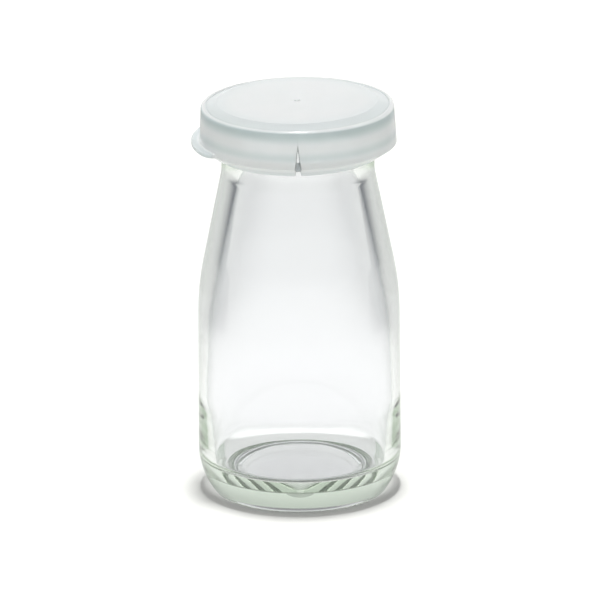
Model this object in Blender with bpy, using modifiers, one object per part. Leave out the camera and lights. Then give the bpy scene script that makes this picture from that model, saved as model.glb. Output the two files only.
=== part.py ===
# A small glass pudding bottle, shut with a press-on polyethylene cap.
# Metres, +Z up. The origin is on the bottle's axis, on the surface that it stands on.

import math

import bmesh
import bpy
from mathutils import Matrix

# Bottle, outside
BOTTLE_HEIGHT = 0.1000
BODY_RADIUS = 0.0255  # at the top of the straight body
BELLY_RADIUS = 0.0257  # the widest place, just above the heel
BELLY_HEIGHT = 0.0112
HEEL_CURVE = 0.0187  # radius of the long curve from the belly down to the foot
HEEL_SIDES = 7
FOOT_ROUNDING = 0.0005
BEARING_INNER_RADIUS = 0.0202
SHOULDER_HEIGHT = 0.0532  # where the body's line and the cone's line would cross
SHOULDER_ROUNDING = 0.0700
NECK_RADIUS = 0.0193
NECK_BASE_HEIGHT = 0.0838
NECK_ROUNDING = 0.0120

# Bottle, the bead round the mouth that the cap snaps over
BEAD_RADIUS = 0.0227
BEAD_EDGE_HEIGHT = 0.0925
BEAD_FOOT_HEIGHT = 0.0890
BEAD_TOP_ROUNDING = 0.0026
BEAD_EDGE_ROUNDING = 0.0010
BEAD_FOOT_ROUNDING = 0.0008
MOUTH_RADIUS = 0.0168
MOUTH_ROUNDING = 0.0018

# Bottle, inside
FLOOR_HEIGHT = 0.0048
FLOOR_RADIUS = 0.0145  # of the flat floor, before it is rounded
FLOOR_ROUNDING = 0.0037
KNEE_RADIUS = 0.0223  # where the floor's sloping edge meets the wall
KNEE_HEIGHT = 0.0088
KNEE_ROUNDING = 0.0022
CAVITY_RADIUS = 0.0235  # low down, where the wall is thinnest
CAVITY_WAIST_HEIGHT = 0.0240
CAVITY_WAIST_ROUNDING = 0.0300
CAVITY_SHOULDER_RADIUS = 0.0222
CAVITY_SHOULDER_HEIGHT = 0.0500
CAVITY_SHOULDER_ROUNDING = 0.1400
THROAT_RADIUS = 0.0146
THROAT_HEIGHT = 0.0842
THROAT_ROUNDING = 0.0120

# Bottle, underneath
PUNT_HEIGHT = 0.0015
PUNT_EDGE_RADIUS = 0.0178
PUNT_ROUNDING = 0.0010

# Cap
CAP_TOP_HEIGHT = 0.1019
CAP_TILT = math.radians(0.6)  # it is pressed on slightly askew, lower at its left
CAP_PIVOT_HEIGHT = 0.0950
CAP_THICKNESS = 0.0011
PANEL_RADIUS = 0.0202
PANEL_ROUNDING = 0.0006
CREASE_RADIUS = 0.0230
CREASE_DROP = 0.0009
RIM_ROUNDING = 0.0010
SKIRT_TOP_RADIUS = 0.0243
SKIRT_RADIUS = 0.02485
SKIRT_EDGE_HEIGHT = 0.0914
SKIRT_EDGE_ROUNDING = 0.0005
SKIRT_INNER_RADIUS = 0.0232
SNAP_EDGE_HEIGHT = 0.0885
SNAP_OUTER_RADIUS = 0.0210
SNAP_INNER_RADIUS = 0.0199
SNAP_LIP_THICKNESS = 0.0006
SNAP_SEAT_HEIGHT = 0.0922
SNAP_ROUNDING = 0.0004
NUB_RADIUS = 0.0007  # the mark that the moulding gate left in the middle of the panel
NUB_HEIGHT = 0.00025
NUB_EDGE_HEIGHT = 0.00015

# Pull tab and notches of the cap, by angle from +X towards +Y
TAB_ANGLE = math.radians(180)
TAB_HALF_ANGLE = math.radians(33.5)
TAB_REACH = 0.00205
TAB_SQUARENESS = 8  # an ellipse's ends have 2, and a higher number makes fuller corners
TAB_THICKNESS = 0.0012
TAB_BOTTOM_HEIGHT = 0.0912
TAB_ROOT_RADIUS = 0.0240
TAB_POINTS = 28
NOTCH_ANGLES = (math.radians(270), math.radians(90))
NOTCH_BOTTOM_HEIGHT = 0.0878  # of the cutters, below everything
GROOVE_TOP_HEIGHT = 0.0991  # a V in the skirt's outer face, which narrows inwards to the slit
GROOVE_WIDTH = 0.0030
GROOVE_TOP_WIDTH = 0.0002
GROOVE_OUTER_RADIUS = 0.0256
SLIT_TOP_HEIGHT = 0.0954
SLIT_WIDTH = 0.0015
SLIT_INNER_RADIUS = 0.0190
SLIT_OUTER_RADIUS = 0.0230

TURNED_STEPS = 64
ARC_STEP = math.radians(15)  # the most that one side of a rounded corner turns

GLASS_COLOUR = (0.86, 0.93, 0.90, 1.0)
GLASS_ROUGHNESS = 0.02
GLASS_REFRACTION = 1.52
CAP_COLOUR = (0.86, 0.88, 0.88, 1.0)
CAP_ROUGHNESS = 0.4
CAP_TRANSMISSION = 0.5


def clear_scene():
    for thing in list(bpy.data.objects):
        bpy.data.objects.remove(thing)


def new_collection(name, hidden=False):
    collection = bpy.data.collections.new(name)
    collection.hide_render = hidden
    bpy.context.scene.collection.children.link(collection)
    return collection


def glass():
    material = bpy.data.materials.new("clear_glass")
    material.use_nodes = True
    shader = material.node_tree.nodes["Principled BSDF"]
    shader.inputs["Base Color"].default_value = GLASS_COLOUR
    shader.inputs["Roughness"].default_value = GLASS_ROUGHNESS
    shader.inputs["Metallic"].default_value = 0.0
    shader.inputs["IOR"].default_value = GLASS_REFRACTION
    shader.inputs["Transmission Weight"].default_value = 1.0
    return material


def polyethylene():
    material = bpy.data.materials.new("frosted_polyethylene")
    material.use_nodes = True
    shader = material.node_tree.nodes["Principled BSDF"]
    shader.inputs["Base Color"].default_value = CAP_COLOUR
    shader.inputs["Roughness"].default_value = CAP_ROUGHNESS
    shader.inputs["Metallic"].default_value = 0.0
    shader.inputs["Transmission Weight"].default_value = CAP_TRANSMISSION
    return material


def rounded(corners):
    """The outline through corners of (radius, height, rounding), each rounded corner made an arc."""
    outline = []
    for i, (x, z, rounding) in enumerate(corners):
        if rounding == 0 or i in (0, len(corners) - 1):
            outline.append((x, z))
            continue
        before_x, before_z = corners[i - 1][0] - x, corners[i - 1][1] - z
        after_x, after_z = corners[i + 1][0] - x, corners[i + 1][1] - z
        to_before = math.atan2(before_z, before_x)
        to_after = math.atan2(after_z, after_x)
        between = (to_after - to_before + math.pi) % math.tau - math.pi
        turn = math.pi - abs(between)
        middle = to_before + between / 2
        reach = rounding / math.sin(abs(between) / 2)
        centre_x = x + reach * math.cos(middle)
        centre_z = z + reach * math.sin(middle)
        sides = max(2, math.ceil(turn / ARC_STEP))
        facing = middle + math.pi
        way = 1 if between > 0 else -1
        for k in range(sides + 1):
            angle = facing + way * turn * (0.5 - k / sides)
            outline.append((centre_x + rounding * math.cos(angle), centre_z + rounding * math.sin(angle)))
    return outline


def heel_curve():
    """The long curve from the belly down to the foot, whose corner with the ground is rounded."""
    centre = BELLY_RADIUS - HEEL_CURVE
    lowest = math.asin(BELLY_HEIGHT / HEEL_CURVE)
    corners = []
    for k in range(HEEL_SIDES + 1):
        angle = lowest * k / HEEL_SIDES
        rounding = FOOT_ROUNDING if k == HEEL_SIDES else 0
        corners.append(
            (centre + HEEL_CURVE * math.cos(angle), BELLY_HEIGHT - HEEL_CURVE * math.sin(angle), rounding)
        )
    return corners


def bottle_outline():
    """From the middle of the floor up the inside, over the mouth, down the outside and under to the axis."""
    inside = [
        (0, FLOOR_HEIGHT, 0),
        (FLOOR_RADIUS, FLOOR_HEIGHT, FLOOR_ROUNDING),
        (KNEE_RADIUS, KNEE_HEIGHT, KNEE_ROUNDING),
        (CAVITY_RADIUS, CAVITY_WAIST_HEIGHT, CAVITY_WAIST_ROUNDING),
        (CAVITY_SHOULDER_RADIUS, CAVITY_SHOULDER_HEIGHT, CAVITY_SHOULDER_ROUNDING),
        (THROAT_RADIUS, THROAT_HEIGHT, THROAT_ROUNDING),
        (MOUTH_RADIUS, BOTTLE_HEIGHT, MOUTH_ROUNDING),
    ]
    outside = [
        (BEAD_RADIUS, BOTTLE_HEIGHT, BEAD_TOP_ROUNDING),
        (BEAD_RADIUS, BEAD_EDGE_HEIGHT, BEAD_EDGE_ROUNDING),
        (NECK_RADIUS, BEAD_FOOT_HEIGHT, BEAD_FOOT_ROUNDING),
        (NECK_RADIUS, NECK_BASE_HEIGHT, NECK_ROUNDING),
        (BODY_RADIUS, SHOULDER_HEIGHT, SHOULDER_ROUNDING),
    ]
    underneath = [
        (BEARING_INNER_RADIUS, 0, 0),
        (PUNT_EDGE_RADIUS, PUNT_HEIGHT, PUNT_ROUNDING),
        (0, PUNT_HEIGHT, 0),
    ]
    return rounded(inside + outside + heel_curve() + underneath)


def cap_outline():
    """From the axis out over the top, down the skirt, under the snap edge and back up the inside."""
    inner_top = CAP_TOP_HEIGHT - CAP_THICKNESS
    crease_height = CAP_TOP_HEIGHT - CREASE_DROP
    corners = [
        (0, CAP_TOP_HEIGHT + NUB_HEIGHT, 0),
        (NUB_RADIUS, CAP_TOP_HEIGHT + NUB_EDGE_HEIGHT, 0),
        (NUB_RADIUS, CAP_TOP_HEIGHT, 0),
        (PANEL_RADIUS, CAP_TOP_HEIGHT, PANEL_ROUNDING),
        (CREASE_RADIUS, crease_height, 0),
        (SKIRT_TOP_RADIUS, crease_height, RIM_ROUNDING),
        (SKIRT_RADIUS, SKIRT_EDGE_HEIGHT, SKIRT_EDGE_ROUNDING),
        (SNAP_OUTER_RADIUS, SNAP_EDGE_HEIGHT, SNAP_ROUNDING),
        (SNAP_INNER_RADIUS, SNAP_EDGE_HEIGHT, SNAP_ROUNDING),
        (SNAP_INNER_RADIUS, SNAP_EDGE_HEIGHT + SNAP_LIP_THICKNESS, 0),
        (SKIRT_INNER_RADIUS, SNAP_SEAT_HEIGHT, 0),
        (SKIRT_INNER_RADIUS, crease_height - CAP_THICKNESS, RIM_ROUNDING),
        (PANEL_RADIUS, inner_top, 0),
        (0, inner_top, 0),
    ]
    return rounded(corners)


def turned(name, outline, collection):
    """The solid of revolution of an outline that starts and ends on the axis."""
    mesh = bpy.data.meshes.new(name)
    points = [(x, 0, z) for x, z in outline]
    mesh.from_pydata(points, [(i, i + 1) for i in range(len(points) - 1)], [])
    solid = bpy.data.objects.new(name, mesh)
    collection.objects.link(solid)
    screw = solid.modifiers.new("turn", "SCREW")
    screw.axis = "Z"
    screw.angle = math.tau
    screw.steps = TURNED_STEPS
    screw.render_steps = TURNED_STEPS
    screw.use_merge_vertices = True
    screw.merge_threshold = 0.00001
    return solid


def extruded(name, outline, low, high, collection):
    """An upright prism on a flat outline of (x, y)."""
    mesh = bpy.data.meshes.new(name)
    shape = bmesh.new()
    face = shape.faces.new([shape.verts.new((x, y, low)) for x, y in outline])
    raised = bmesh.ops.extrude_face_region(shape, geom=[face])["geom"]
    moved = [part for part in raised if isinstance(part, bmesh.types.BMVert)]
    bmesh.ops.translate(shape, verts=moved, vec=(0, 0, high - low))
    bmesh.ops.recalc_face_normals(shape, faces=shape.faces)
    shape.to_mesh(mesh)
    shape.free()
    solid = bpy.data.objects.new(name, mesh)
    collection.objects.link(solid)
    return solid


def tab_edge(offset):
    """How far the tab stands out from the skirt, at an angle from its middle."""
    share = min(1, abs(offset) / TAB_HALF_ANGLE)
    return TAB_REACH * math.sqrt(1 - share**TAB_SQUARENESS)


def tab_outline():
    """A crescent that follows the skirt, with rounded ends."""
    outer = []
    inner = []
    for k in range(TAB_POINTS + 1):
        offset = TAB_HALF_ANGLE * math.sin(math.pi * (k / TAB_POINTS - 0.5))
        angle = TAB_ANGLE + offset
        reach = SKIRT_RADIUS + tab_edge(offset)
        outer.append((reach * math.cos(angle), reach * math.sin(angle)))
        inner.append((TAB_ROOT_RADIUS * math.cos(angle), TAB_ROOT_RADIUS * math.sin(angle)))
    return outer + inner[::-1]


def notch_cutter(name, angle, collection):
    """A slit through the skirt and its lip, which widens outwards into a groove with its point up."""
    sections = [
        (SLIT_INNER_RADIUS, SLIT_TOP_HEIGHT, SLIT_WIDTH, SLIT_WIDTH),
        (SLIT_OUTER_RADIUS, SLIT_TOP_HEIGHT, SLIT_WIDTH, SLIT_WIDTH),
        (GROOVE_OUTER_RADIUS, GROOVE_TOP_HEIGHT, GROOVE_WIDTH, GROOVE_TOP_WIDTH),
    ]
    mesh = bpy.data.meshes.new(name)
    shape = bmesh.new()
    loops = []
    for radius, top, foot_width, top_width in sections:
        low = [(-foot_width / 2, NOTCH_BOTTOM_HEIGHT), (foot_width / 2, NOTCH_BOTTOM_HEIGHT)]
        high = [(top_width / 2, top), (-top_width / 2, top)]
        loops.append([shape.verts.new((radius, y, z)) for y, z in low + high])
    for near, far in zip(loops, loops[1:]):
        for k in range(len(near)):
            shape.faces.new([near[k - 1], near[k], far[k], far[k - 1]])
    shape.faces.new(loops[0])
    shape.faces.new(loops[-1])
    bmesh.ops.rotate(shape, verts=shape.verts, matrix=Matrix.Rotation(angle, 3, "Z"))
    bmesh.ops.recalc_face_normals(shape, faces=shape.faces)
    shape.to_mesh(mesh)
    shape.free()
    cutter = bpy.data.objects.new(name, mesh)
    collection.objects.link(cutter)
    return cutter


def join(solid, other, operation):
    modifier = solid.modifiers.new(operation.lower() + "_" + other.name, "BOOLEAN")
    modifier.operation = operation
    modifier.object = other
    modifier.solver = "EXACT"
    other.display_type = "WIRE"
    other.hide_render = True


def finish(solid, material):
    solid.data.materials.append(material)
    solid.data.shade_smooth()


def make_bottle(collection):
    bottle = turned("bottle", bottle_outline(), collection)
    finish(bottle, glass())
    return bottle


def set_askew(pieces, collection):
    """Tilts the cap's pieces together about the cap's own middle."""
    tilt = bpy.data.objects.new("cap_tilt", None)
    collection.objects.link(tilt)
    tilt.location = (0, 0, CAP_PIVOT_HEIGHT)
    tilt.rotation_euler = (0, -CAP_TILT, 0)
    for piece in pieces:
        piece.parent = tilt
        piece.matrix_parent_inverse = Matrix.Translation((0, 0, -CAP_PIVOT_HEIGHT))


def make_cap(collection, helpers):
    cap = turned("cap", cap_outline(), collection)
    tab = extruded("tab", tab_outline(), TAB_BOTTOM_HEIGHT, TAB_BOTTOM_HEIGHT + TAB_THICKNESS, helpers)
    join(cap, tab, "UNION")
    notches = [notch_cutter(f"notch_{n}", angle, helpers) for n, angle in enumerate(NOTCH_ANGLES, 1)]
    for notch in notches:
        join(cap, notch, "DIFFERENCE")
    set_askew([cap, tab, *notches], helpers)
    finish(cap, polyethylene())
    return cap


def main():
    clear_scene()
    bottle_collection = new_collection("glass_bottle")
    helpers = new_collection("cutters", hidden=True)
    make_bottle(bottle_collection)
    make_cap(bottle_collection, helpers)


main()
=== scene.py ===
import math

import bpy
from mathutils import Matrix, Vector


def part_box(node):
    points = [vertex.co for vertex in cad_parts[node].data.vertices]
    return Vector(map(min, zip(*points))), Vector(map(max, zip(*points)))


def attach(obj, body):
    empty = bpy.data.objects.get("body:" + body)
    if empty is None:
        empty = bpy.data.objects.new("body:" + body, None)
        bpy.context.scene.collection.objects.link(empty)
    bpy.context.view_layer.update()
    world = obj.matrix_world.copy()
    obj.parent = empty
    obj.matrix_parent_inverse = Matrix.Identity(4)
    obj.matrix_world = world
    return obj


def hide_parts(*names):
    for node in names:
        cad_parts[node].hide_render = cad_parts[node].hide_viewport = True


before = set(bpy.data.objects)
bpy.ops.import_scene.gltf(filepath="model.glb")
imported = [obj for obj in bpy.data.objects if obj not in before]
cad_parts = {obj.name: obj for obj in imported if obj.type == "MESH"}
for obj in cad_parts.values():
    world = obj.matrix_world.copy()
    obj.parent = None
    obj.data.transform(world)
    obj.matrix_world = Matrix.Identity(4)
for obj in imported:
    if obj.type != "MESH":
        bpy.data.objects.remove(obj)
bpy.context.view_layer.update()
print("the packed bottle is loaded, with", len(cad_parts), "nodes")

mm = 0.001
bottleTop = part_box("bottle")[1].z

pieces = bpy.data.collections.new("glass_bottle_pieces")
bpy.context.scene.collection.children.link(pieces)


# Small helpers for node trees

def addNode(tree, kind, settings=None, **values):
    node = tree.nodes.new(kind)
    for key, value in (settings or {}).items():
        setattr(node, key, value)
    for key, value in values.items():
        node.inputs[key.replace("_", " ")].default_value = value
    return node


def plug(tree, target, value):
    if hasattr(value, "links"):
        tree.links.new(value, target)
    else:
        target.default_value = value


def calc(tree, operation, *values):
    node = addNode(tree, "ShaderNodeMath", {"operation": operation})
    for place, value in enumerate(values):
        plug(tree, node.inputs[place], value)
    return node.outputs[0]


def vectorCalc(tree, operation, a, b=None, scale=None):
    node = addNode(tree, "ShaderNodeVectorMath", {"operation": operation})
    plug(tree, node.inputs[0], a)
    if b is not None:
        plug(tree, node.inputs[1], b)
    if scale is not None:
        plug(tree, node.inputs["Scale"], scale)
    return node.outputs["Value" if operation in ("LENGTH", "DOT_PRODUCT") else "Vector"]


def remap(tree, value, fromLow, fromHigh, toLow, toHigh, smooth=False):
    node = addNode(tree, "ShaderNodeMapRange", {"interpolation_type": "SMOOTHSTEP" if smooth else "LINEAR"})
    limits = {"From Min": fromLow, "From Max": fromHigh, "To Min": toLow, "To Max": toHigh}
    for name, given in {"Value": value, **limits}.items():
        plug(tree, node.inputs[name], given)
    return node.outputs["Result"]


def mixColour(tree, share, first, second):
    node = addNode(tree, "ShaderNodeMix", {"data_type": "RGBA"})
    for socket in node.inputs:
        if socket.identifier in ("Factor_Float", "A_Color", "B_Color"):
            plug(tree, socket, {"F": share, "A": first, "B": second}[socket.identifier[0]])
    return next(socket for socket in node.outputs if socket.type == "RGBA")


def attributeOf(tree, name, kind="FLOAT"):
    node = addNode(tree, "GeometryNodeInputNamedAttribute", {"data_type": kind}, Name=name)
    return node.outputs["Attribute"]


def newTree(name, inputs):
    tree = bpy.data.node_groups.new(name, "GeometryNodeTree")
    for label, kind in [("Geometry", "Geometry"), *inputs]:
        tree.interface.new_socket(label, in_out="INPUT", socket_type="NodeSocket" + kind)
    tree.interface.new_socket("Geometry", in_out="OUTPUT", socket_type="NodeSocketGeometry")
    return tree, addNode(tree, "NodeGroupInput").outputs


def runTree(piece, tree, values):
    modifier = piece.modifiers.new(tree.name, "NODES")
    modifier.node_group = tree
    for item in tree.interface.items_tree:
        if item.in_out == "INPUT" and item.name in values:
            modifier[item.identifier] = values[item.name]
    graph = bpy.context.evaluated_depsgraph_get()
    plain = bpy.data.meshes.new_from_object(piece.evaluated_get(graph))
    piece.modifiers.remove(modifier)
    piece.data = plain
    plain.name = piece.name
    print(piece.name, "has", len(plain.polygons), "faces")
    return piece


# Outlines: corners of (radius, height, rounding) in millimetres, turned round the bottle's axis

def corner(r, z, rounding=0.0, **marks):
    return {"r": r, "z": z, "rounding": rounding, **marks}


def turnAt(before, here, after):
    first = math.atan2(here["z"] - before["z"], here["r"] - before["r"])
    second = math.atan2(after["z"] - here["z"], after["r"] - here["r"])
    return abs((second - first + math.pi) % math.tau - math.pi)


def outlinePiece(name, corners, finest):
    # the outline as a line of points that carry their rounding, and where the waves and the tab act
    mesh = bpy.data.meshes.new(name)
    points = [(c["r"] * mm, 0, c["z"] * mm) for c in corners]
    edges = [(i, i + 1) for i in range(len(points) - 1)]
    mesh.from_pydata(points, edges, [])
    sides = [1] * len(corners)
    for i in range(1, len(corners) - 1):
        if corners[i]["rounding"]:
            needed = math.ceil(turnAt(*corners[i - 1:i + 2]) / math.radians(finest))
            sides[i] = max(turning["fewestSides"], needed)
    columns = {"sides": sides, "rounding": [c["rounding"] * mm for c in corners]}
    for key in ("inside", "tab"):
        columns[key] = [float(c.get(key, 0)) for c in corners]
    for key, column in columns.items():
        attribute = mesh.attributes.new(key, "INT" if key == "sides" else "FLOAT", "POINT")
        attribute.data.foreach_set("value", column)
    piece = bpy.data.objects.new(name, mesh)
    pieces.objects.link(piece)
    return piece


turning = {
    "sweep": 0.1,  # radius of the circle that carries the outline while it is swept
    "mergeDistance": 0.000001,
    "fewestSides": 3,  # of a rounded corner
}


def turnedSurface(tree, outline, stepsAround):
    # rounds the corners of a line in the XZ plane and turns it round Z
    sweep = turning["sweep"]
    upright = (math.radians(90), 0, 0)
    line = addNode(tree, "GeometryNodeMeshToCurve")
    rounded = addNode(tree, "GeometryNodeFilletCurve", {"mode": "POLY"})
    place = addNode(tree, "GeometryNodeTransform", Translation=(-sweep, 0, 0), Rotation=upright)
    circle = addNode(tree, "GeometryNodeCurvePrimitiveCircle", Radius=sweep)
    skin = addNode(tree, "GeometryNodeCurveToMesh")
    closed = addNode(tree, "GeometryNodeMergeByDistance", Distance=turning["mergeDistance"])
    plug(tree, line.inputs["Mesh"], outline)
    plug(tree, rounded.inputs["Curve"], line.outputs["Curve"])
    plug(tree, rounded.inputs["Radius"], attributeOf(tree, "rounding"))
    plug(tree, rounded.inputs["Count"], attributeOf(tree, "sides", "INT"))
    plug(tree, place.inputs["Geometry"], rounded.outputs["Curve"])
    plug(tree, circle.inputs["Resolution"], stepsAround)
    plug(tree, skin.inputs["Curve"], circle.outputs["Curve"])
    plug(tree, skin.inputs["Profile Curve"], place.outputs["Geometry"])
    plug(tree, closed.inputs["Geometry"], skin.outputs["Mesh"])
    return closed.outputs["Geometry"]


def finishTree(tree, surface, material, sharpAngle):
    # smooth but for edges that turn by more than the angle, then the material
    smooth = addNode(tree, "GeometryNodeSetShadeSmooth", {"domain": "EDGE"})
    angle = addNode(tree, "GeometryNodeInputMeshEdgeAngle")
    faces = addNode(tree, "GeometryNodeSetShadeSmooth", {"domain": "FACE"}, Shade_Smooth=True)
    real = addNode(tree, "GeometryNodeRealizeInstances")
    paint = addNode(tree, "GeometryNodeSetMaterial")
    out = addNode(tree, "NodeGroupOutput")
    plug(tree, faces.inputs["Geometry"], surface)
    plug(tree, smooth.inputs["Geometry"], faces.outputs["Geometry"])
    isSoft = calc(tree, "LESS_THAN", angle.outputs["Unsigned Angle"], math.radians(sharpAngle))
    plug(tree, smooth.inputs["Shade Smooth"], isSoft)
    plug(tree, real.inputs["Geometry"], smooth.outputs["Geometry"])
    plug(tree, paint.inputs["Geometry"], real.outputs["Geometry"])
    plug(tree, paint.inputs["Material"], material)
    plug(tree, out.inputs["Geometry"], paint.outputs["Geometry"])


def moved(tree, surface, offset):
    node = addNode(tree, "GeometryNodeSetPosition")
    plug(tree, node.inputs["Geometry"], surface)
    plug(tree, node.inputs["Offset"], offset)
    return node.outputs["Geometry"]


# Materials

def newMaterial(name):
    material = bpy.data.materials.new(name)
    material.use_nodes = True
    tree = material.node_tree
    return material, tree, tree.nodes["Principled BSDF"]


def matt(shader, colour):
    shader.inputs["Base Color"].default_value = colour
    shader.inputs["Roughness"].default_value = 1.0
    shader.inputs["Specular IOR Level"].default_value = 0.0


glassLook = {
    "ior": 1.52,
    "surface": (0.945, 0.941, 0.972, 1),
    "edge": (0.30, 0.34, 0.34, 1),  # painted shade where it is seen at a glancing angle: darker edges standing in for dark surroundings seen in the glass
    "edgeFrom": 0.55,
    "edgeTo": 1.0,
    "tint": (0.775, 0.838, 0.75, 1),  # of its depth: the further from white, the more the glass takes away
    "density": 41.0,
    "cloudScale": 60.0,  # faint patches that are a little less glossy
    "cloudDetail": 2.0,
    "cloudFrom": 0.45,
    "cloudTo": 0.75,
    "roughnessLow": 0.0,
    "roughnessHigh": 0.012,
}


def clearGlass():
    look = glassLook
    material, tree, shader = newMaterial("clearGlass")
    # painted shade: the colour greys at glancing angles, standing in for dark surroundings seen at the
    # glass's edges
    glancing = addNode(tree, "ShaderNodeLayerWeight", Blend=0.5).outputs["Facing"]
    edge = remap(tree, glancing, look["edgeFrom"], look["edgeTo"], 0.0, 1.0, True)
    plug(tree, shader.inputs["Base Color"], mixColour(tree, edge, look["surface"], look["edge"]))
    shader.inputs["IOR"].default_value = look["ior"]
    shader.inputs["Transmission Weight"].default_value = 1.0
    place = addNode(tree, "ShaderNodeTexCoord")
    cloud = addNode(tree, "ShaderNodeTexNoise", Scale=look["cloudScale"], Detail=look["cloudDetail"])
    plug(tree, cloud.inputs["Vector"], place.outputs["Object"])
    ends = look["roughnessLow"], look["roughnessHigh"]
    haze = remap(tree, cloud.outputs["Fac"], look["cloudFrom"], look["cloudTo"], *ends)
    plug(tree, shader.inputs["Roughness"], haze)
    body = addNode(tree, "ShaderNodeVolumeAbsorption", Color=look["tint"], Density=look["density"])
    plug(tree, tree.nodes["Material Output"].inputs["Volume"], body.outputs["Volume"])
    return material


capLook = {
    "colour": (0.91, 0.945, 0.955, 1),
    "cloudColour": (0.89, 0.925, 0.935, 1),
    "cloudScale": 180.0,  # faint patches in the plastic
    "cloudDetail": 3.0,
    "cloudFrom": 0.35,
    "cloudTo": 0.65,
    "paintedShadeColour": (0.60, 0.675, 0.68, 1),  # painted shade, for the greyer places below, which are in millimetres
    "bandLow": 97.0,  # painted shade standing in for the glass rim seen through the wall, by height
    "bandHigh": 99.7,
    "bandFade": 100.3,
    "bandEnd": 100.8,
    "seatLow": 92.6,  # painted shade standing in for the rim's bead seen through the wall, lower down
    "seatMiddle": 94.0,
    "seatHigh": 96.0,
    "seatShadeShare": 0.5,
    "bandInner": 23.8,  # how far out from the axis both of them start
    "bandOuter": 24.3,
    "grooveInner": 22.4,  # painted shade in the groove along the top's edge
    "grooveRadius": 22.95,
    "grooveOuter": 23.25,
    "grooveShadeShare": 0.5,
    "ringInner": 16.0,  # painted shade towards the top's edge, standing in for the glass rim seen through it
    "ringOuter": 22.0,
    "ringEnd": 23.0,
    "ringShadeShare": 0.25,
    "tabInner": 25.1,  # painted shade on the pull tab
    "tabOuter": 25.7,
    "tabShadeShare": 0.5,
    "ior": 1.5,
    "roughness": 0.2,
    "roughnessSpread": 0.03,  # either way, over the same patches
    "roughFrom": 0.3,
    "roughTo": 0.7,
    "transmission": 0.42,
    "scatter": 1.0,
    "scatterReach": 0.0012,
}


def capShade(tree, place):
    # painted shade from 0 to 1, by height and by distance from the axis
    split = addNode(tree, "ShaderNodeSeparateXYZ")
    plug(tree, split.inputs[0], place)
    z = split.outputs["Z"]
    radius = vectorCalc(tree, "LENGTH", vectorCalc(tree, "MULTIPLY", place, (1, 1, 0)))

    def rise(value, first, second):
        return remap(tree, value, capLook[first] * mm, capLook[second] * mm, 0.0, 1.0, True)

    def times(first, second):
        return calc(tree, "MULTIPLY", first, second)

    # painted shade where the glass rim and its bead show through the skirt
    seat = times(rise(z, "seatLow", "seatMiddle"), rise(z, "seatHigh", "seatMiddle"))
    rimShade = calc(tree, "MAXIMUM", rise(z, "bandLow", "bandHigh"), times(seat, capLook["seatShadeShare"]))
    rimShade = times(rimShade, times(rise(radius, "bandInner", "bandOuter"), rise(z, "bandEnd", "bandFade")))
    # painted shade towards the top's edge, for the glass rim seen through it
    ringShade = times(rise(radius, "ringInner", "ringOuter"), capLook["ringShadeShare"])
    ringShade = times(ringShade, calc(tree, "LESS_THAN", radius, capLook["ringEnd"] * mm))
    # painted shade in the groove along the top's edge
    groove = times(rise(radius, "grooveOuter", "grooveRadius"), rise(radius, "grooveInner", "grooveRadius"))
    groove = times(groove, capLook["grooveShadeShare"])
    # painted shade on the pull tab, greyer than the rest of the cap
    tab = times(rise(radius, "tabInner", "tabOuter"), capLook["tabShadeShare"])
    shade = rimShade
    for mask in (ringShade, groove, tab):
        shade = calc(tree, "MAXIMUM", shade, mask)
    return shade


def milkyPolyethylene():
    look = capLook
    material, tree, shader = newMaterial("milkyPolyethylene")
    place = addNode(tree, "ShaderNodeTexCoord").outputs["Object"]
    cloud = addNode(tree, "ShaderNodeTexNoise", Scale=look["cloudScale"], Detail=look["cloudDetail"])
    plug(tree, cloud.inputs["Vector"], place)
    cloudy = remap(tree, cloud.outputs["Fac"], look["cloudFrom"], look["cloudTo"], 0.0, 1.0)
    plain = mixColour(tree, cloudy, look["colour"], look["cloudColour"])
    # painted shade: the colour greys where the glass shows through, in the groove and on the tab
    withPaintedShade = mixColour(tree, capShade(tree, place), plain, look["paintedShadeColour"])
    plug(tree, shader.inputs["Base Color"], withPaintedShade)
    ends = look["roughness"] - look["roughnessSpread"], look["roughness"] + look["roughnessSpread"]
    rough = remap(tree, cloud.outputs["Fac"], look["roughFrom"], look["roughTo"], *ends)
    plug(tree, shader.inputs["Roughness"], rough)
    shader.inputs["IOR"].default_value = look["ior"]
    shader.inputs["Transmission Weight"].default_value = look["transmission"]
    shader.inputs["Subsurface Weight"].default_value = look["scatter"]
    shader.inputs["Subsurface Radius"].default_value = (1, 1, 1)
    shader.inputs["Subsurface Scale"].default_value = look["scatterReach"]
    return material


# The bottle

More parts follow.
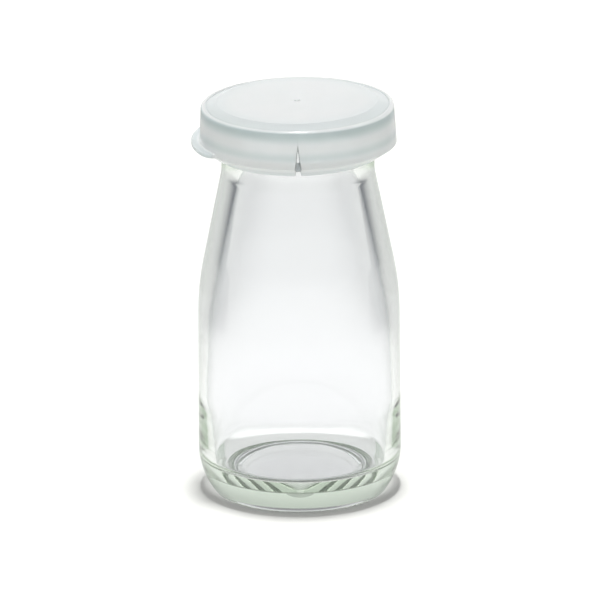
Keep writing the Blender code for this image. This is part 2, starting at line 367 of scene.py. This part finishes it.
bottleShape = {
    "height": bottleTop / mm,
    "bodyRadius": 25.5,
    "bellyRadius": 25.7,
    "bellyHeight": 11.2,
    "heelCurve": 18.7,
    "heelSides": 36,
    "footRounding": 0.5,
    "footRoom": 1.2,  # share of the foot's rounding that the heel's curve leaves free for it
    "bearingInner": 20.2,
    "shoulderHeight": 53.2,
    "shoulderRounding": 70.0,
    "neckRadius": 19.3,
    "neckBase": 83.8,
    "neckRounding": 12.0,
    "beadRadius": 22.7,
    "beadRounding": 2.6,
    "beadEdge": 92.5,
    "beadEdgeRounding": 1.0,
    "beadFoot": 89.0,
    "beadFootRounding": 0.8,
    "mouthRadius": 16.8,
    "mouthRounding": 1.8,
    "floorHeight": 4.8,
    "floorEdge": 14.5,
    "floorEdgeRounding": 3.7,
    "kneeRadius": 22.3,
    "kneeHeight": 8.8,
    "kneeRounding": 2.2,
    "kneeWave": 0.5,  # share of the wave's depth that it has
    "waistRadius": 23.5,
    "waistHeight": 24.0,
    "waistRounding": 30.0,
    "cavityRadius": 22.2,  # the inside, where the body turns into the shoulder
    "cavityHeight": 50.0,
    "cavityRounding": 140.0,
    "throatRadius": 14.6,
    "throatHeight": 84.2,
    "throatRounding": 12.0,
    "puntHeight": 1.5,
    "puntEdge": 17.8,
    "puntRounding": 1.0,
    "stepsAround": 448,
    "finest": 3.0,  # degrees that one side of a rounded corner turns by
    "sharpAngle": 50.0,
    "waveDepth": 0.1,  # of the faint waves on the inner wall
    "waveLength": 11.0,
    "waveStretch": (1, 1, 0.45),  # they are longer up and down
    "waveDetail": 1.0,
    "waveSeed": 3.0,
}


def heelCorners():
    shape = bottleShape
    curve = shape["heelCurve"]
    centre = shape["bellyRadius"] - curve
    lowest = math.asin(shape["bellyHeight"] / curve)
    footTangent = shape["footRounding"] * math.tan((math.pi / 2 - lowest) / 2)
    last = lowest - shape["footRoom"] * footTangent / curve
    corners = []
    for k in range(shape["heelSides"]):
        angle = last * k / (shape["heelSides"] - 1)
        height = shape["bellyHeight"] - curve * math.sin(angle)
        corners.append(corner(centre + curve * math.cos(angle), height))
    corners.append(corner(centre + curve * math.cos(lowest), 0, shape["footRounding"]))
    return corners


def bottleCorners():
    shape = bottleShape
    top = shape["height"]
    inside = [
        corner(0, shape["floorHeight"]),
        corner(shape["floorEdge"], shape["floorHeight"], shape["floorEdgeRounding"]),
        corner(shape["kneeRadius"], shape["kneeHeight"], shape["kneeRounding"], inside=shape["kneeWave"]),
        corner(shape["waistRadius"], shape["waistHeight"], shape["waistRounding"], inside=1),
        corner(shape["cavityRadius"], shape["cavityHeight"], shape["cavityRounding"], inside=1),
        corner(shape["throatRadius"], shape["throatHeight"], shape["throatRounding"], inside=1),
        corner(shape["mouthRadius"], top, shape["mouthRounding"]),
    ]
    outside = [
        corner(shape["beadRadius"], top, shape["beadRounding"]),
        corner(shape["beadRadius"], shape["beadEdge"], shape["beadEdgeRounding"]),
        corner(shape["neckRadius"], shape["beadFoot"], shape["beadFootRounding"]),
        corner(shape["neckRadius"], shape["neckBase"], shape["neckRounding"]),
        corner(shape["bodyRadius"], shape["shoulderHeight"], shape["shoulderRounding"]),
    ]
    underneath = [
        corner(shape["bearingInner"], 0),
        corner(shape["puntEdge"], shape["puntHeight"], shape["puntRounding"]),
        corner(0, shape["puntHeight"]),
    ]
    return inside + outside + heelCorners() + underneath


def bottleTree():
    inputs = [("Steps Around", "Int"), ("Wave Depth", "Float"), ("Wave Scale", "Float"),
              ("Wave Seed", "Float"), ("Material", "Material")]
    tree, given = newTree("turnedBottle", inputs)
    surface = turnedSurface(tree, given["Geometry"], given["Steps Around"])
    position = addNode(tree, "GeometryNodeInputPosition").outputs["Position"]
    normal = addNode(tree, "GeometryNodeInputNormal").outputs["Normal"]
    stretched = vectorCalc(tree, "MULTIPLY", position, bottleShape["waveStretch"])
    noise = addNode(tree, "ShaderNodeTexNoise", {"noise_dimensions": "4D"}, Detail=bottleShape["waveDetail"])
    plug(tree, noise.inputs["Vector"], stretched)
    plug(tree, noise.inputs["Scale"], given["Wave Scale"])
    plug(tree, noise.inputs["W"], given["Wave Seed"])
    wave = calc(tree, "SUBTRACT", noise.outputs["Fac"], 0.5)
    height = calc(tree, "MULTIPLY", wave, given["Wave Depth"])
    height = calc(tree, "MULTIPLY", height, attributeOf(tree, "inside"))
    surface = moved(tree, surface, vectorCalc(tree, "SCALE", normal, scale=height))
    finishTree(tree, surface, given["Material"], bottleShape["sharpAngle"])
    return tree


def makeBottle():
    piece = outlinePiece("bottle_glass", bottleCorners(), bottleShape["finest"])
    values = {
        "Steps Around": bottleShape["stepsAround"],
        "Wave Depth": bottleShape["waveDepth"] * mm,
        "Wave Scale": 1 / (bottleShape["waveLength"] * mm),
        "Wave Seed": bottleShape["waveSeed"],
        "Material": clearGlass(),
    }
    return runTree(piece, bottleTree(), values)


# The cap

capShape = {
    "top": 101.9,
    "tilt": 0.6,  # degrees, lower at its left
    "pivot": 95.0,  # height that it is tilted about
    "thickness": 1.1,
    "panelRadius": 20.2,
    "panelRounding": 0.6,
    "underPanelRounding": 0.5,
    "creaseRadius": 23.0,  # the groove round the top, and how far the top's edge lies below its middle
    "creaseDrop": 0.9,
    "creaseDepth": 0.15,
    "creaseWidth": 0.25,
    "creaseRounding": 0.05,
    "creaseEdgeRounding": 0.12,
    "skirtTop": 24.3,
    "skirtTopRounding": 0.9,
    "skirtRadius": 24.85,
    "skirtEdge": 91.4,
    "skirtInner": 23.2,
    "skirtInnerRounding": 1.0,
    "hemInset": 0.35,  # the skirt's lower edge, where it turns in towards the lip
    "hemDrop": 0.45,
    "hemRounding": 0.3,
    "lipHeight": 88.5,
    "lipOuter": 21.0,
    "lipOuterRounding": 0.4,
    "lipInner": 19.9,
    "lipInnerRounding": 0.25,
    "lipThickness": 0.6,
    "lipTopRounding": 0.15,
    "seat": 92.2,
    "seatRounding": 0.5,
    "nubRadius": 0.7,
    "nubHeight": 0.25,
    "nubRounding": 0.2,
    "nubFootRounding": 0.15,
    "tabAngle": 180.0,
    "tabHalfAngle": 33.5,
    "tabCornerShare": 0.25,
    "tabReach": 2.05,
    "tabThickness": 1.2,
    "tabBottom": 91.2,
    "tabProfile": (  # how far below the tab's top, and the share of its reach there
        (-0.3, 0), (0, 0.03), (0.10, 0.94), (0.25, 0.99), (0.50, 1),
        (0.80, 1), (1.05, 0.98), (1.15, 0.92), (1.20, 0.3),
    ),
    "notchAngles": (270.0, 90.0),
    "notchOuterWidth": 3.2,
    "notchInnerWidth": 1.6,
    "notchTopShare": 0.06,  # of its width that is left at its top
    "notchOuterTop": 99.1,
    "notchInnerTop": 95.4,
    "notchPastOutside": 0.6,  # how far its cutter runs past the cap
    "notchPastInside": 1.0,
    "notchPastBelow": 1.0,
    "stepsAround": 384,
    "finest": 6.0,
    "sharpAngle": 40.0,
}


def capTopCorners(crease):
    shape = capShape
    top = shape["top"]
    grooveEdge = shape["creaseRadius"] + shape["creaseWidth"]
    return [
        corner(0, top + shape["nubHeight"]),
        corner(shape["nubRadius"], top + shape["nubHeight"] / 2, shape["nubRounding"]),
        corner(shape["nubRadius"], top, shape["nubFootRounding"]),
        corner(shape["panelRadius"], top, shape["panelRounding"]),
        corner(shape["creaseRadius"], crease - shape["creaseDepth"], shape["creaseRounding"]),
        corner(grooveEdge, crease, shape["creaseEdgeRounding"]),
        corner(shape["skirtTop"], crease, shape["skirtTopRounding"]),
    ]


def tabCorners(crease):
    # down the skirt, which widens towards its edge, with the share that moves out with the tab
    shape = capShape
    tabTop = shape["tabBottom"] + shape["tabThickness"]
    corners = []
    for drop, share in shape["tabProfile"]:
        height = tabTop - drop
        along = (crease - height) / (crease - shape["skirtEdge"])
        radius = shape["skirtTop"] + (shape["skirtRadius"] - shape["skirtTop"]) * along
        corners.append(corner(radius, height, tab=share))
    return corners


def capInsideCorners(crease):
    shape = capShape
    underTop = shape["top"] - shape["thickness"]
    lipTop = shape["lipHeight"] + shape["lipThickness"]
    hemRadius = shape["skirtRadius"] - shape["hemInset"]
    return [
        corner(hemRadius, shape["skirtEdge"] - shape["hemDrop"], shape["hemRounding"]),
        corner(shape["lipOuter"], shape["lipHeight"], shape["lipOuterRounding"]),
        corner(shape["lipInner"], shape["lipHeight"], shape["lipInnerRounding"]),
        corner(shape["lipInner"], lipTop, shape["lipTopRounding"]),
        corner(shape["skirtInner"], shape["seat"], shape["seatRounding"]),
        corner(shape["skirtInner"], crease - shape["thickness"], shape["skirtInnerRounding"]),
        corner(shape["panelRadius"], underTop, shape["underPanelRounding"]),
        corner(0, underTop),
    ]


def capCorners():
    crease = capShape["top"] - capShape["creaseDrop"]
    return capTopCorners(crease) + tabCorners(crease) + capInsideCorners(crease)


def notchCutters(tree):
    # a slit that opens outwards, one for each angle, from a block with corners at -0.5, 0 and 0.5
    shape = capShape
    low = (shape["lipHeight"] - shape["notchPastBelow"]) * mm
    middle = shape["skirtInner"] * mm
    outer = (shape["skirtRadius"] + shape["notchPastOutside"]) * mm
    inner = (shape["lipInner"] - shape["notchPastInside"]) * mm
    halfway = 0.25
    block = addNode(tree, "GeometryNodeMeshCube", Size=(1, 1, 1), Vertices_X=3, Vertices_Y=2, Vertices_Z=2)
    split = addNode(tree, "ShaderNodeSeparateXYZ")
    position = addNode(tree, "GeometryNodeInputPosition").outputs["Position"]
    plug(tree, split.inputs[0], position)
    x, y, z = split.outputs
    isOuter = calc(tree, "GREATER_THAN", x, halfway)
    isInner = calc(tree, "LESS_THAN", x, -halfway)
    isTop = calc(tree, "GREATER_THAN", z, 0)
    radius = calc(tree, "ADD", middle, calc(tree, "MULTIPLY", isOuter, outer - middle))
    radius = calc(tree, "ADD", radius, calc(tree, "MULTIPLY", isInner, inner - middle))
    width = remap(tree, isOuter, 0, 1, shape["notchInnerWidth"] * mm, shape["notchOuterWidth"] * mm)
    width = calc(tree, "MULTIPLY", width, remap(tree, isTop, 0, 1, 1, shape["notchTopShare"]))
    top = remap(tree, isOuter, 0, 1, shape["notchInnerTop"] * mm, shape["notchOuterTop"] * mm)
    height = calc(tree, "ADD", low, calc(tree, "MULTIPLY", isTop, calc(tree, "SUBTRACT", top, low)))
    merged = addNode(tree, "ShaderNodeCombineXYZ")
    for axis, value in enumerate((radius, calc(tree, "MULTIPLY", y, width), height)):
        plug(tree, merged.inputs[axis], value)
    shaped = addNode(tree, "GeometryNodeSetPosition")
    plug(tree, shaped.inputs["Geometry"], block.outputs["Mesh"])
    plug(tree, shaped.inputs["Position"], merged.outputs[0])
    together = addNode(tree, "GeometryNodeJoinGeometry")
    for angle in shape["notchAngles"]:
        turned = addNode(tree, "GeometryNodeTransform", Rotation=(0, 0, math.radians(angle)))
        plug(tree, turned.inputs["Geometry"], shaped.outputs["Geometry"])
        plug(tree, together.inputs["Geometry"], turned.outputs["Geometry"])
    return together.outputs["Geometry"]


def tabOffset(tree, given):
    # outwards from the axis, full along the tab's middle, with rounded corners at its two ends
    split = addNode(tree, "ShaderNodeSeparateXYZ")
    position = addNode(tree, "GeometryNodeInputPosition").outputs["Position"]
    plug(tree, split.inputs[0], position)
    cornerShare = given["Tab Corner Share"]
    around = calc(tree, "ARCTAN2", split.outputs["Y"], split.outputs["X"])
    away = calc(tree, "SUBTRACT", around, given["Tab Angle"])
    away = calc(tree, "ABSOLUTE", calc(tree, "WRAP", away, math.pi, -math.pi))
    share = calc(tree, "DIVIDE", away, given["Tab Half Angle"])
    past = calc(tree, "SUBTRACT", share, calc(tree, "SUBTRACT", 1, cornerShare))
    past = calc(tree, "MAXIMUM", 0, calc(tree, "DIVIDE", past, cornerShare))
    past = calc(tree, "MINIMUM", 1, past)
    rounding = calc(tree, "SQRT", calc(tree, "SUBTRACT", 1, calc(tree, "MULTIPLY", past, past)))
    reach = calc(tree, "MULTIPLY", rounding, given["Tab Reach"])
    reach = calc(tree, "MULTIPLY", reach, attributeOf(tree, "tab"))
    outwards = vectorCalc(tree, "NORMALIZE", vectorCalc(tree, "MULTIPLY", position, (1, 1, 0)))
    return vectorCalc(tree, "SCALE", outwards, scale=reach)


def transformed(tree, surface, way, axis, amount):
    along = addNode(tree, "ShaderNodeCombineXYZ")
    node = addNode(tree, "GeometryNodeTransform")
    plug(tree, along.inputs[axis], amount)
    plug(tree, node.inputs["Geometry"], surface)
    plug(tree, node.inputs[way], along.outputs[0])
    return node.outputs["Geometry"]


def capTree():
    inputs = [("Steps Around", "Int"), ("Tab Angle", "Float"), ("Tab Half Angle", "Float"),
              ("Tab Reach", "Float"), ("Tab Corner Share", "Float"), ("Tilt", "Float"),
              ("Pivot Height", "Float"), ("Material", "Material")]
    tree, given = newTree("turnedCap", inputs)
    surface = turnedSurface(tree, given["Geometry"], given["Steps Around"])
    surface = moved(tree, surface, tabOffset(tree, given))
    cut = addNode(tree, "GeometryNodeMeshBoolean", {"operation": "DIFFERENCE", "solver": "EXACT"})
    plug(tree, cut.inputs["Mesh 1"], surface)
    plug(tree, cut.inputs["Mesh 2"], notchCutters(tree))
    depth = calc(tree, "MULTIPLY", given["Pivot Height"], -1)
    surface = transformed(tree, cut.outputs["Mesh"], "Translation", "Z", depth)
    surface = transformed(tree, surface, "Rotation", "Y", given["Tilt"])
    surface = transformed(tree, surface, "Translation", "Z", given["Pivot Height"])
    finishTree(tree, surface, given["Material"], capShape["sharpAngle"])
    return tree


def makeCap():
    piece = outlinePiece("cap_polyethylene", capCorners(), capShape["finest"])
    values = {
        "Steps Around": capShape["stepsAround"],
        "Tab Angle": math.radians(capShape["tabAngle"]),
        "Tab Half Angle": math.radians(capShape["tabHalfAngle"]),
        "Tab Reach": capShape["tabReach"] * mm,
        "Tab Corner Share": capShape["tabCornerShare"],
        "Tilt": -math.radians(capShape["tilt"]),
        "Pivot Height": capShape["pivot"] * mm,
        "Material": milkyPolyethylene(),
    }
    return runTree(piece, capTree(), values)


# Floor, light and camera

studio = {  # sizes in metres
    "floorSize": 12.0,
    "floorColour": (0.87, 0.875, 0.845, 1),
    "nearFrom": 0.012,  # a faint grey that starts close beside the bottle
    "nearTo": 0.07,
    "nearShade": 0.2,
    "cardFrom": 0.15,  # how far beside the bottle the grey starts, and where it is full
    "cardTo": 0.7,
    "cardShade": 0.8,
    "behindFrom": 0.10,  # the same straight behind the bottle
    "behindTo": 0.27,
    "behindShade": 0.18,
    "cardColour": (0.09, 0.095, 0.115, 1),
    "cardWidth": 1.2,  # to either side
    "cardFront": 0.03,
    "cardSoft": 0.25,  # how far back its front edge has faded in
    "cardBack": 1.5,
    "cardHeight": 0.002,
    "horizon": 1.12,  # brightness of the surround low down
    "zenith": 0.35,
    "fadeFrom": 5.0,  # degrees above the horizon between which it falls from one to the other
    "fadeTo": 55.0,
    "overhead": 2.5,  # the light above, in watts on each square metre
    "overheadSpread": 5.0,  # degrees that it measures across the sky
    "overheadTilt": 1.5,  # degrees that it leans towards the back
    "fill": 58.0,  # watts of the narrow lamp for the ground under the bottle's floor
    "fillHeight": 1.5,
    "fillRadius": 0.026,
    "fillBack": 0.004,
    "fillBlend": 0.35,
    "fillSize": 0.001,
}


def makeFloor():
    bpy.ops.mesh.primitive_plane_add(size=studio["floorSize"])
    floor = bpy.context.object
    floor.name = "floor"
    material, tree, shader = newMaterial("paleFloor")
    matt(shader, studio["floorColour"])
    floor.data.materials.append(material)
    return floor


def shadeCardMaterial():
    material, tree, shader = newMaterial("shadeCard")
    matt(shader, studio["cardColour"])
    split = addNode(tree, "ShaderNodeSeparateXYZ")
    plug(tree, split.inputs[0], addNode(tree, "ShaderNodeTexCoord").outputs["Object"])
    aside = calc(tree, "ABSOLUTE", split.outputs["X"])
    behind = split.outputs["Y"]
    clear = 1.0
    for way, distance in (("near", aside), ("card", aside), ("behind", behind)):
        start, end, full = (studio[way + word] for word in ("From", "To", "Shade"))
        clear = calc(tree, "MULTIPLY", clear, remap(tree, distance, start, end, 1.0, 1.0 - full, True))
    fadeIn = remap(tree, behind, studio["cardFront"], studio["cardSoft"], 0.0, 1.0, True)
    shade = calc(tree, "SUBTRACT", 1.0, clear)
    plug(tree, shader.inputs["Alpha"], calc(tree, "MULTIPLY", fadeIn, shade))
    return material


def makeShadeCard():
    # a clear card over the ground behind the bottle that turns grey to its sides, for glass and gloss
    # alone, as dark cards beside a white ground give clear glass its darker edges
    mesh = bpy.data.meshes.new("shade_card")
    wide, front, back = (studio[key] for key in ("cardWidth", "cardFront", "cardBack"))
    places = ((-wide, front), (wide, front), (wide, back), (-wide, back))
    mesh.from_pydata([(x, y, studio["cardHeight"]) for x, y in places], [], [(0, 1, 2, 3)])
    mesh.materials.append(shadeCardMaterial())
    card = bpy.data.objects.new("shade_card", mesh)
    bpy.context.scene.collection.objects.link(card)
    card.visible_camera = False
    card.visible_diffuse = False
    card.visible_shadow = False


def makeSurround():
    world = bpy.data.worlds.new("studio")
    bpy.context.scene.world = world
    world.use_nodes = True
    tree = world.node_tree
    background = tree.nodes["Background"]
    background.inputs["Color"].default_value = (1, 1, 1, 1)
    way = addNode(tree, "ShaderNodeTexCoord")
    split = addNode(tree, "ShaderNodeSeparateXYZ")
    plug(tree, split.inputs[0], way.outputs["Generated"])
    low, high = (math.sin(math.radians(studio[key])) for key in ("fadeFrom", "fadeTo"))
    dome = remap(tree, split.outputs["Z"], low, high, studio["horizon"], studio["zenith"], True)
    plug(tree, background.inputs["Strength"], dome)


def makeOverheadLight():
    data = bpy.data.lights.new("overhead", "SUN")
    data.energy = studio["overhead"]
    data.angle = math.radians(studio["overheadSpread"])
    lamp = bpy.data.objects.new("overhead", data)
    bpy.context.scene.collection.objects.link(lamp)
    lamp.rotation_euler = (-math.radians(studio["overheadTilt"]), 0, 0)


def makeFill(ground):
    # the overhead light that comes down through the cap and the floor, which the renderer would lose
    data = bpy.data.lights.new("fill", "SPOT")
    data.energy = studio["fill"]
    data.spot_size = 2 * math.atan(studio["fillRadius"] / studio["fillHeight"])
    data.spot_blend = studio["fillBlend"]
    data.shadow_soft_size = studio["fillSize"]
    data.use_shadow = False
    lamp = bpy.data.objects.new("fill", data)
    bpy.context.scene.collection.objects.link(lamp)
    lamp.location = (0, studio["fillBack"], studio["fillHeight"])
    lit = bpy.data.collections.new("lit_by_fill")
    lit.objects.link(ground)
    lamp.light_linking.receiver_collection = lit


view = {  # sizes in metres, angles in degrees
    "elevation": 17.9,
    "distance": 2.5,
    "span": 0.15171,  # width that the frame covers at the bottle
    "aim": (0.00028, 0, 0.0492),
    "roll": -0.40,
    "sensor": 36,  # millimetres
    "farthest": 20,
    "bounces": 48,  # light is led far round inside thick glass
}


def makeCamera():
    data = bpy.data.cameras.new("camera")
    camera = bpy.data.objects.new("camera", data)
    bpy.context.scene.collection.objects.link(camera)
    rise = math.radians(view["elevation"])
    aim = Vector(view["aim"])
    place = aim + view["distance"] * Vector((0, -math.cos(rise), math.sin(rise)))
    facing = (aim - place).to_track_quat("-Z", "Y").to_matrix().to_4x4()
    roll = Matrix.Rotation(math.radians(view["roll"]), 4, "Z")
    camera.matrix_world = Matrix.Translation(place) @ facing @ roll
    data.sensor_width = view["sensor"]
    data.lens = data.sensor_width * view["distance"] / view["span"]
    data.clip_end = view["farthest"]
    bpy.context.scene.camera = camera


bottle = makeBottle()
cap = makeCap()
for piece, node, slotName in ((bottle, "bottle", "clear_glass"), (cap, "cap", "frosted_polyethylene")):
    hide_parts(node)
    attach(piece, "root")
print("the bottle and its cap stand for their solids")
floor = makeFloor()
makeShadeCard()
print("the floor is laid, with its shade card over it")
makeSurround()
makeOverheadLight()
makeFill(floor)
print("the surround, the overhead light and the fill are lit")
makeCamera()
print("the camera is set")
bpy.context.scene.view_settings.view_transform = "Standard"
for limit in ("max_bounces", "transmission_bounces", "glossy_bounces"):
    setattr(bpy.context.scene.cycles, limit, view["bounces"])
